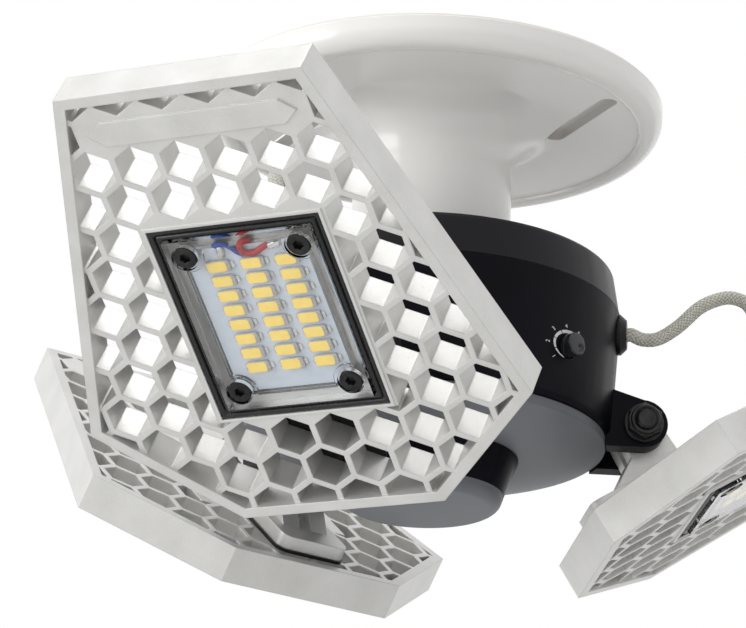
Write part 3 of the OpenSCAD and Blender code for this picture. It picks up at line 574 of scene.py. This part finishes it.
# Sleeves, cores and casings: a plain shade in blocks that change from part to part
def componentFinish():
    f = Finish("components", (0.06, 0.10, 0.24), roughness=0.35)
    x, y, z = f.axes()
    ends = z.rise(-0.0670, -0.0665)
    patch = f.cells(16).rise(0.3, 0.32)
    tone = f.mix(patch, (0.05, 0.08, 0.20), (0.10, 0.10, 0.11))
    band = ((z * 400) % 1).rise(0.9, 0.92)
    f.set("Base Color", f.mix(ends.larger(band * 0.3), tone, (0.55, 0.55, 0.56)))
    f.set("Roughness", f.noise(1.5, 2) * 0.2 + 0.25)
    f.set("Normal", f.bump(band * 0.04))
    return f


porcelain, greyPlastic, cast = porcelainFinish(), greyPlasticFinish(), castFinish()
blackPlastic, lidPlastic = blackPlasticFinish("blackPlastic", 0.08), blackPlasticFinish("lidPlastic", 0.2)
rubber, gasketRubber = rubberFinish("blackRubber", 0.44, 0.25), rubberFinish("gasketRubber", 0.24, 0.5)
lightBoard, phosphor, lens = boardFinish(), phosphorFinish(), lensFinish()
circuit, components = circuitFinish(), componentFinish()
blackSteel = metalFinish("blackSteel", (0.035, 0.034, 0.033), (0.015, 0.015, 0.016), 0.36, 0.7)
brightSteel = metalFinish("brightSteel", (0.66, 0.66, 0.65), (0.5, 0.5, 0.49), 0.3)
brass = metalFinish("brass", (0.78, 0.58, 0.26), (0.62, 0.44, 0.18), 0.32)
nickel = metalFinish("nickel", (0.72, 0.71, 0.67), (0.6, 0.59, 0.55), 0.28)
solder = metalFinish("solder", (0.74, 0.74, 0.73), (0.58, 0.58, 0.57), 0.26)
baseGlass = plainFinish("baseGlass", (0.012, 0.011, 0.018), (0.025, 0.022, 0.035), 0.15)
emitterCase = plainFinish("emitterCase", (0.60, 0.60, 0.60), (0.48, 0.48, 0.48), 0.35, 0.6)
redWire = plainFinish("redWire", (0.60, 0.03, 0.025), (0.45, 0.02, 0.02), 0.4)
blueWire = plainFinish("blueWire", (0.03, 0.10, 0.42), (0.02, 0.07, 0.32), 0.4)
knobPlastic = plainFinish("knobPlastic", (0.010, 0.011, 0.015), (0.018, 0.018, 0.022), 0.2, 2.0)
scaleInk = plainFinish("scaleInk", (0.80, 0.81, 0.84), (0.66, 0.67, 0.70), 0.5, 0.5)
print("finishes mixed")

bodyOf = {n: b for b, names in frame["record"]["behaviour"]["bodies"].items() for n in names}


# A merged copy of a CAD node with its edges rounded. Flat faces are joined so that the rounding is
# even, unless whole is off, for faces with more holes than one face can hold. With plan, a matrix
# from a flat piece's own frame, it gets a UV map of that frame's x and y in millimetres
def dressed(node, name, finish, edge=0.3, steps=2, crease=32, plan=None, whole=True):
    b = bmesh.new()
    b.from_mesh(nodes[node].data)
    bmesh.ops.remove_doubles(b, verts=b.verts, dist=2e-6)
    if whole:
        bmesh.ops.dissolve_limit(b, angle_limit=math.radians(0.5), verts=b.verts, edges=b.edges)
    b.verts.index_update()
    mesh = bpy.data.meshes.new(name)
    mesh.from_pydata([v.co[:] for v in b.verts], [], [[v.index for v in f.verts] for f in b.faces])
    b.free()
    mesh.materials.append(finish.material)
    if plan:
        back = np.array(plan.inverted())
        co = np.zeros(len(mesh.vertices) * 3)
        mesh.vertices.foreach_get("co", co)
        corner = np.zeros(len(mesh.loops), int)
        mesh.loops.foreach_get("vertex_index", corner)
        flat = (co.reshape(-1, 3) / mm) @ back[:3, :3].T + back[:3, 3]
        uv = flat[corner][:, :2] - [window["middle"], 0]
        mesh.uv_layers.new(name="Plan").data.foreach_set("uv", uv.astype(np.float32).ravel())
    piece = addPiece(name, mesh, bodyOf[node], crease)
    if edge:
        bevel = piece.modifiers.new("Edges", "BEVEL")
        bevel.width, bevel.segments = edge * mm, steps
        bevel.limit_method, bevel.angle_limit = "ANGLE", math.radians(crease)
        bevel.harden_normals = True
    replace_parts(piece, node)
    return piece


# A CAD node that keeps its own shape gets its finish
def finished(node, finish):
    mesh = nodes[node].data
    mesh.materials.clear()
    mesh.materials.append(finish.material)


# lampholder

dressed("lampholder_body", "porcelainLampholder", porcelain, edge=0.6, steps=3, crease=40)
for node in ("centre_contact", "terminal_plates", "socket_rivets"):
    finished(node, brass)
finished("terminal_screws", brightSteel)

thread = {"pitch": 3.62, "depth": 0.75}


# A rolled screw thread: the radius swings once for each pitch of height, and once more for each turn
def threadedShell(profile, low, high, sides=72):
    profile = np.array(profile)
    angle = np.linspace(0, 2 * np.pi, sides, endpoint=False)[None, :]
    height = np.repeat(profile[:, 1:2], sides, 1)
    phase = 2 * np.pi * height / thread["pitch"] - angle
    fade = np.clip((height - low) / 2, 0, 1) * np.clip((high - height) / 2, 0, 1)
    radius = profile[:, :1] + profile[:, 2:3] * fade * thread["depth"] * 0.5 * (np.cos(phase) - 1)
    return closedSkin(np.stack([radius * np.cos(angle), radius * np.sin(angle), height], -1))


def shellProfile(radius, wall, low, high, top):
    heights = np.linspace(low, high, 60)
    outer = [(radius, h, 1) for h in heights]
    inner = [(radius - wall, h, 1) for h in heights[::-1]]
    return outer + top + inner


makePiece("lampScrewShell", [([threadedShell(shellProfile(
    13.05, 0.45, -42.5, -24.5, [(12.2, -23.6, 0), (9.1, -23.5, 0), (9.1, -24, 0), (12, -24.1, 0)]),
    -41, -25)], nickel)], "hub", crease=60)
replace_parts(bpy.data.objects["lampScrewShell"], "base_shell")
makePiece("socketScrewShell", [([threadedShell(shellProfile(
    14.35, 0.45, -39.8, -14.3, [(14.3, -13.8, 0), (9, -13.8, 0), (9, -14.3, 0), (13.4, -14.4, 0)]),
    -39.6, -16)], brass)], "lampholder", crease=60)
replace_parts(bpy.data.objects["socketScrewShell"], "screw_shell")
finished("base_insulator", baseGlass)
finished("base_tip", solder)
print("lampholder made")

# hub

dressed("hub_lid", "hubLid", lidPlastic, edge=0.35)
dressed("hub_body", "hubBody", blackPlastic, edge=0.7, steps=3, crease=30)
dressed("bottom_cover", "domedCover", greyPlastic, edge=0.3, crease=40)
dressed("sensor_pod", "sensorPodWall", blackPlastic, edge=0.25)
dressed("pod_cap", "sensorPodCap", greyPlastic, edge=0.25, crease=40)
dressed("hub_glands", "hubGlands", rubber, edge=0.4, steps=3)
for node, finish in (("sensor_board", circuit), ("driver_board", circuit), ("driver_parts", components),
                     ("potentiometer", components)):
    finished(node, finish)

# panels: the castings and trim keep the CAD's shape, with rounded edges

for side in panels:
    dressed(side + "_housing", side + "Housing", cast, edge=0.38, steps=2, whole=False)
    dressed(side + "_bracket", side + "Bracket", cast, edge=0.5, steps=3)
    dressed(side + "_bracket_pad", side + "BracketPad", rubber, edge=0.2)
    dressed(side + "_led_board", side + "LightBoard", lightBoard, edge=0.1,
            plan=panelMatrix(side))
    dressed(side + "_lens", side + "Lens", lens, edge=0.25, steps=3, whole=False)
    dressed(side + "_gland", side + "Gland", rubber, edge=0.3)
print("castings made")

# A gasket's section as (inset from the window's edge, height): two soft lips with a groove between
gasket = {"half": (26.3, 21), "corner": 0.5, "steps": 6, "section": [
    (0.06, -5.3), (0.06, -8.5), (0.2, -8.75), (0.45, -8.87), (0.75, -8.9), (1.05, -8.8),
    (1.25, -8.45), (1.45, -8.25), (1.65, -8.45), (1.85, -8.8), (2.15, -8.9), (2.5, -8.87),
    (2.75, -8.75), (2.88, -8.5), (2.88, -5.3)]}


def makeGasket(side):
    (hx, hy), r, steps = gasket["half"], gasket["corner"], gasket["steps"]
    turn = np.radians(np.repeat([0, 90, 180, 270], steps) + np.tile(np.linspace(0, 90, steps), 4))
    sx, sy = np.repeat([1, -1, -1, 1], steps), np.repeat([1, 1, -1, -1], steps)
    columns = len(turn)
    grid = np.array([np.stack([window["middle"] + sx * (hx - inset - r) + r * np.cos(turn),
                               sy * (hy - inset - r) + r * np.sin(turn), np.full(columns, height)], -1)
                     for inset, height in gasket["section"]])
    count = len(grid) * columns
    faces = [[i % count for i in f] for f in gridFaces(len(grid) + 1, columns, True)]
    part = moved(outward(grid.reshape(-1, 3), faces), panelMatrix(side))
    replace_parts(makePiece(side + "Gasket", [([part], gasketRubber)], side + "_panel", 50),
                side + "_gasket")


emitter = {"width": 3.0, "length": 5.7, "height": 0.8, "glow": (1.34, 2.35), "contact": (0.9, 0.7)}
wires = {
    "diameter": 1.5,
    "red": [(75.4, 2.0, -6.4), (75.3, 0.5, -7.3), (74.0, -0.5, -7.6), (72.2, -0.4, -7.3), (71.5, 0.9, -7.0),
            (71.7, 2.6, -6.9), (72.5, 4.2, -6.7), (73.0, 5.6, -6.3)],
    "blue": [(71.2, -1.0, -6.4), (72.3, -1.9, -6.9), (73.9, -2.9, -7.2), (75.0, -4.4, -7.2),
             (75.1, -5.9, -7.1), (74.4, -6.5, -6.7), (73.6, -5.9, -6.4)],
    "blobs": [((72.7, -5.9, -6.75), (1.9, 0.9, 0.8), 8), ((73.0, 7.2, -6.75), (0.85, 1.8, 0.8), -12)],
}


def makeEmitters(side):
    place, w, e = panelMatrix(side), window, emitter
    cases, glows, contacts = [], [], []
    for i in range(w["columns"]):
        for k in range(w["rows"]):
            x = w["middle"] + w["shift"][0] + (k - (w["rows"] - 1) / 2) * w["along"]
            y = w["shift"][1] + (i - (w["columns"] - 1) / 2) * w["across"]
            top = w["boardTop"] - e["height"]

            def at(dx, dy, z, part):
                return moved(part, place @ Matrix.Translation((x + dx, y + dy, z)))

            case = pillow(e["width"] / 2, e["length"] / 2, e["height"] / 2, 9)
            cases.append(at(0, 0, top + e["height"] / 2, case))
            glows.append(at(0, -0.38, top, pillow(*e["glow"], 0.16, 7)))
            contacts.append(at(0, e["length"] / 2 + 0.15, w["boardTop"] - 0.12,
                               pillow(*e["contact"], 0.24, 6)))
            contacts.append(at(0, -e["length"] / 2 - 0.1, w["boardTop"] - 0.1, pillow(1.05, 0.4, 0.16, 6)))
    piece = makePiece(side + "Emitters", [(cases, emitterCase), (glows, phosphor), (contacts, solder)],
                      side + "_panel", crease=50)
    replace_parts(piece, side + "_leds")


# Two short wires cross the board's outer end to their blobs of solder
def makeWires(side):
    place = panelMatrix(side)
    groups = []
    for name, finish in (("red", redWire), ("blue", blueWire)):
        path, _ = smoothPath(wires[name], 60)
        wire = closedSkin(tubeGrid(path, wires["diameter"] / 2, 14, (0, 0, 1)))
        groups.append(([moved(wire, place)], finish))
    blobs = []
    for centre, half, turn in wires["blobs"]:
        spot = place @ Matrix.Translation(centre) @ Matrix.Rotation(math.radians(turn), 4, "Z")
        points, faces = pillow(*half, 2.4, 12, 24)
        points = points + 0.09 * np.sin(points[:, [1, 2, 0]] * 4.1 + 0.6)
        blobs.append(moved((points, faces), spot))
    groups.append((blobs, solder))
    makePiece(side + "BoardWires", groups, side + "_panel", crease=60)


# A cheese-head screw down its own -Z, its head's top at 0; six lobes are pressed into it
def lobedScrew(head, height, shank, length, recess):
    profile = [(0.02, -recess), (0.42 * head, -recess), (0.47 * head, -0.12), (0.52 * head, 0),
               (0.8 * head, 0), (0.92 * head, -0.05), (0.98 * head, -0.18), (head, -0.4),
               (head, -height + 0.1), (head - 0.1, -height), (shank, -height), (shank, 0.3 - length),
               (shank - 0.3, -length)]

    def lobes(radius, angle, row):
        return np.where(row < 4, radius * (1 - 0.1 * (1 - np.cos(6 * angle))), radius)

    return turned(profile, 48, lobes)


lensScrews = {"alongs": (-18.75, 18.75), "acrosses": (-13.8, 13.8), "top": -9.6, "head": 2.75,
              "height": 1.8, "shank": 1.45, "length": 8.3, "recess": 1.2}
bracketScrews = {"along": 35.5, "across": 5, "top": 6.5, "head": 2.75, "height": 2.2, "shank": 1.45,
                 "length": 10.3, "recess": 1.5}


def makePanelScrews(side):
    place, s, b = panelMatrix(side), lensScrews, bracketScrews
    over = Matrix.Rotation(math.pi, 4, "X")
    parts = [moved(lobedScrew(s["head"], s["height"], s["shank"], s["length"], s["recess"]),
                   place @ Matrix.Translation((window["middle"] + x, y, s["top"])) @ over
                   @ Matrix.Rotation(x + y, 4, "Z"))
             for x in s["alongs"] for y in s["acrosses"]]
    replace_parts(makePiece(side + "LensScrews", [(parts, blackSteel)], side + "_panel", 30),
                side + "_lens_screws")
    parts = [moved(lobedScrew(b["head"], b["height"], b["shank"], b["length"], b["recess"]),
                   place @ Matrix.Translation((b["along"], y, b["top"])) @ Matrix.Rotation(y, 4, "Z"))
             for y in (-b["across"], b["across"])]
    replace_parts(makePiece(side + "BracketScrews", [(parts, blackSteel)], side + "_panel", 30),
                side + "_bracket_screws")


for side in panels:
    makeGasket(side)
    makeEmitters(side)
    makeWires(side)
    makePanelScrews(side)
print("light windows made")

# hinge bolts and their lock nuts: flanged hexagons whose chamfer is cut by a cone

bolt = {"radius": 2.5, "earOut": 12.1, "head": 4.4, "headHeight": 3.0, "nutFlats": 8.0, "nutHeight": 4.0}


def hexed(flats, angle):
    return flats / 2 / np.cos((angle + np.pi / 6) % (np.pi / 3) - np.pi / 6)


def makeHinges():
    out, r, h = bolt["earOut"], bolt["radius"], bolt["nutHeight"]
    boltProfile = [(0.02, -out - 1.2), (1.72, -out - 1.2), (1.75, -out - 2.9), (1.95, -out - 3),
                   (3.3, -out - 3), (3.9, -out - 2.85), (4.25, -out - 2.45), (4.4, -out - 1.9),
                   (4.4, -out - 0.1), (4.3, -out),
                   (r, -out), (r, out + h + 0.1), (r - 0.45, out + h + 0.6), (0.02, out + h + 0.65)]
    nutProfile = [(r + 0.05, out), (4.8, out), (4.9, out + 0.15), (4.9, out + 0.6), (4.75, out + 0.75),
                  (4.62, out + 0.8), (4.62, out + 2.5), (4.45, out + 2.8), (4.1, out + 3.05),
                  (3.75, out + 3.1), (3.7, out + 3.7), (3.5, out + 3.95), (3.2, out + 4),
                  (2.9, out + 3.9), (r + 0.05, out + 3.6)]

    def socket(radius, angle, row):
        return np.where(row < 3, np.minimum(radius, hexed(3.0, angle)), radius)

    def flats(radius, angle, row):
        return np.where((row > 4) & (row < 9), np.minimum(radius, hexed(bolt["nutFlats"], angle)), radius)

    bolts, nuts, inserts = [], [], []
    for side in panels:
        pin = (hubMatrix(side) @ Matrix.Translation((hinge["radius"], 0, hinge["height"]))
               @ Matrix.Rotation(math.pi / 2, 4, "X"))
        bolts.append(moved(turned(boltProfile, 60, socket), pin))
        nuts.append(moved(ringSkin(nutProfile, 72, flats), pin))
        inserts.append(moved(ringSkin([(r + 0.02, out + 3.4), (3.1, out + 3.4), (3.1, out + 3.75),
                                       (2.95, out + 3.85), (r + 0.1, out + 3.75)], 48), pin))
    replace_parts(makePiece("pivotBolts", [(bolts, blackSteel)], "hub", 30), "pivot_bolts")
    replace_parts(makePiece("lockNuts", [(nuts, blackSteel), (inserts, rubber)], "hub", 30), "pivot_nuts")
    finished("pivot_spacers", brightSteel)


makeHinges()

lidScrews = {"radius": 38, "turns": (53.3, 173.3, 293.3), "top": -46.5, "head": 2.75, "height": 1.9,
             "shank": 1.45, "length": 19, "recess": 1.2}
lidScrew = lobedScrew(*(lidScrews[k] for k in ("head", "height", "shank", "length", "recess")))
screws = [moved(lidScrew, Matrix.Rotation(math.radians(a), 4, "Z")
                @ Matrix.Translation((lidScrews["radius"], 0, lidScrews["top"]))) for a in lidScrews["turns"]]
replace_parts(makePiece("lidScrews", [(screws, blackSteel)], "hub", 30), "lid_screws")
print("fasteners made")

# sensitivity knob and its printed scale

knob = {"azimuth": -43.8, "height": -74.2, "radius": 2.8, "out": 3.0, "dimple": (1.35, 1.1, 0.6),
        "pointer": -35}
dial = {"inner": 3.05, "wide": 0.95, "thin": 0.2, "start": 55, "end": 255, "breaks": (122, 162, 205),
        "stretch": 1.42, "numbers": (("5", 60), ("4", 100), ("3", 140), ("2", 184), ("1", 228)),
        "numberAt": 4.75, "size": 1.25}


# Radius of the hub's tapered side at a height
def hubSide(z):
    return 47.5 - 1.8 * (-56.5 - z) / 29.6


# A drawing in s (to the right) and t (up) round the knob's middle, laid on the hub's side, lift above it
def onHub(s, t, lift):
    z = knob["height"] + t
    radius = hubSide(z) + lift
    angle = math.radians(knob["azimuth"]) + s * dial["stretch"] / radius
    return np.stack([radius * np.cos(angle), radius * np.sin(angle), z], -1)


def makeKnob():
    r, out, side = knob["radius"], knob["out"], hubSide(knob["height"])
    rings = np.concatenate([np.linspace(0.02, 0.9, 22) * r, [0.95 * r, 0.985 * r, r, r, r]])
    heights = np.concatenate([np.full(22, out), [out - 0.05, out - 0.16, out - 0.36, -2.0, -3.1]])
    angle = np.linspace(0, 2 * np.pi, 64, endpoint=False)
    x, y = rings[:, None] * np.cos(angle), rings[:, None] * np.sin(angle)
    at, wide, deep = knob["dimple"]
    points = math.radians(knob["pointer"])
    away = np.hypot(x - at * math.cos(points), y - at * math.sin(points))
    dip = deep * (0.5 + 0.5 * np.cos(np.pi * np.clip((away / wide) ** 2, 0, 1)))
    z = np.repeat(heights[:, None], 64, 1) - dip * (rings < 0.93 * r)[:, None]
    z += 0.12 * (1 - (rings / r) ** 2)[:, None] * (rings < 0.93 * r)[:, None]
    # x runs to the right along the hub's side and y up
    grid = np.stack([side + z, x, y], -1)
    place = Matrix.Translation((0, 0, knob["height"]))
    place = Matrix.Rotation(math.radians(knob["azimuth"]), 4, "Z") @ place
    shaft = turned([(1.5, side - 6.9), (1.5, side - 3.0)], 24)
    shaft = moved(shaft, place @ Matrix.Rotation(math.pi / 2, 4, "Y"))
    piece = makePiece("sensitivityKnob", [([moved(closedSkin(grid), place), shaft], knobPlastic)], "knob",
                      50)
    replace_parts(piece, "sensitivity_knob")


# The scale: an arc that widens towards its high end, broken by short gaps, with plain numbers round it
def makeScale():
    parts = []
    d = dial
    marks = [d["start"], *d["breaks"], d["end"]]
    for a, b in zip(marks[:-1], marks[1:]):
        angle = np.radians(np.linspace(a + 1.8, b - 1.8, 24))
        share = (np.degrees(angle) - d["start"]) / (d["end"] - d["start"])
        wide = d["wide"] + (d["thin"] - d["wide"]) * share
        rows = []
        for reach, lift in ((0, 0.02), (0, 0.07), (1, 0.07), (1, 0.02)):
            radius = d["inner"] + reach * wide
            rows.append(onHub(radius * np.cos(angle), radius * np.sin(angle), lift))
        parts.append(closedSkin(np.stack(rows, 1)))
    for text, turn in d["numbers"]:
        curve = bpy.data.curves.new("number", "FONT")
        curve.body, curve.size, curve.extrude = text, d["size"], 0.02
        curve.align_x = curve.align_y = "CENTER"
        curve.resolution_u = 3
        letter = bpy.data.objects.new("number", curve)
        scene.collection.objects.link(letter)
        bpy.context.view_layer.update()
        mesh = bpy.data.meshes.new_from_object(letter.evaluated_get(bpy.context.evaluated_depsgraph_get()))
        co = np.array([v.co[:] for v in mesh.vertices])
        lean, way = math.radians(turn - 90), math.radians(turn)
        s = co[:, 0] * math.cos(lean) - co[:, 1] * math.sin(lean) + d["numberAt"] * math.cos(way)
        t = co[:, 0] * math.sin(lean) + co[:, 1] * math.cos(lean) + d["numberAt"] * math.sin(way)
        parts.append((onHub(s, t, 0.045 + co[:, 2]), [list(p.vertices) for p in mesh.polygons]))
        bpy.data.objects.remove(letter)
    makePiece("knobScale", [(parts, scaleInk)], "hub", 30)


makeKnob()
makeScale()
print("knob and scale made")

# floor, background and lamps


def makeStage():
    floorHeight, half = -0.46, 3.0
    grid = np.stack(np.meshgrid(np.linspace(-half, half, 9), np.linspace(-half, half, 9), indexing="ij"), -1)
    points = np.concatenate([grid, np.full((9, 9, 1), floorHeight)], -1).reshape(-1, 3)
    mesh = bpy.data.meshes.new("floor")
    mesh.from_pydata(points.tolist(), [], [f[::-1] for f in gridFaces(9, 9, False)])
    f = Finish("paleFloor", (0.86, 0.86, 0.85), roughness=0.8)
    f.set("Base Color", f.mix(f.noise(60, 3), (0.85, 0.85, 0.845), (0.875, 0.875, 0.87)))
    # Seen from below it isn't there, as the light hangs over it
    below = f.node("NewGeometry", out=6)
    clear = f.node("BsdfTransparent")
    f.feed(f.tree.nodes["Material Output"].inputs[0],
           f.node("MixShader", {}, {0: below, 1: Wire(f, f.shader.outputs[0]), 2: clear}))
    mesh.materials.append(f.material)
    floor = bpy.data.objects.new("floor", mesh)
    scene.collection.objects.link(floor)


def makeLight(name, place, size, power, color=(1, 1, 1)):
    data = bpy.data.lights.new(name, "AREA")
    data.shape, data.size, data.energy, data.color = "SQUARE", size, power, color
    light = bpy.data.objects.new(name, data)
    scene.collection.objects.link(light)
    light.location = place
    light.rotation_mode = "QUATERNION"
    light.rotation_quaternion = (Vector((0, 0, -0.06)) - Vector(place)).to_track_quat("-Z", "Y")


def makeWorld(level):
    world = bpy.data.worlds.new("World")
    scene.world = world
    world.use_nodes = True
    tree = world.node_tree
    ground = tree.nodes["Background"]
    path = tree.nodes.new("ShaderNodeLightPath")
    seen = path.outputs["Is Camera Ray"]
    for other in ("Is Glossy Ray", "Is Transmission Ray"):
        most = tree.nodes.new("ShaderNodeMath")
        most.operation = "MAXIMUM"
        tree.links.new(seen, most.inputs[0])
        tree.links.new(path.outputs[other], most.inputs[1])
        seen = most.outputs[0]
    blend = tree.nodes.new("ShaderNodeMapRange")
    tree.links.new(seen, blend.inputs["Value"])
    blend.inputs["To Min"].default_value, blend.inputs["To Max"].default_value = level, 1.0
    ground.inputs["Color"].default_value = (1, 1, 1, 1)
    tree.links.new(blend.outputs[0], ground.inputs["Strength"])


makeStage()
makeWorld(0.56)
makeLight("above", (-0.1, -0.3, 1.6), 1.0, 10)
makeLight("aboveLeft", (-0.9, -0.6, 1.2), 1.0, 3)
makeLight("left", (-1.6, -0.7, 0.1), 1.0, 12)
makeLight("lowRight", (1.1, -1.1, -0.9), 1.0, 3)
scene.view_settings.view_transform = "Standard"
print("stage and lamps set")
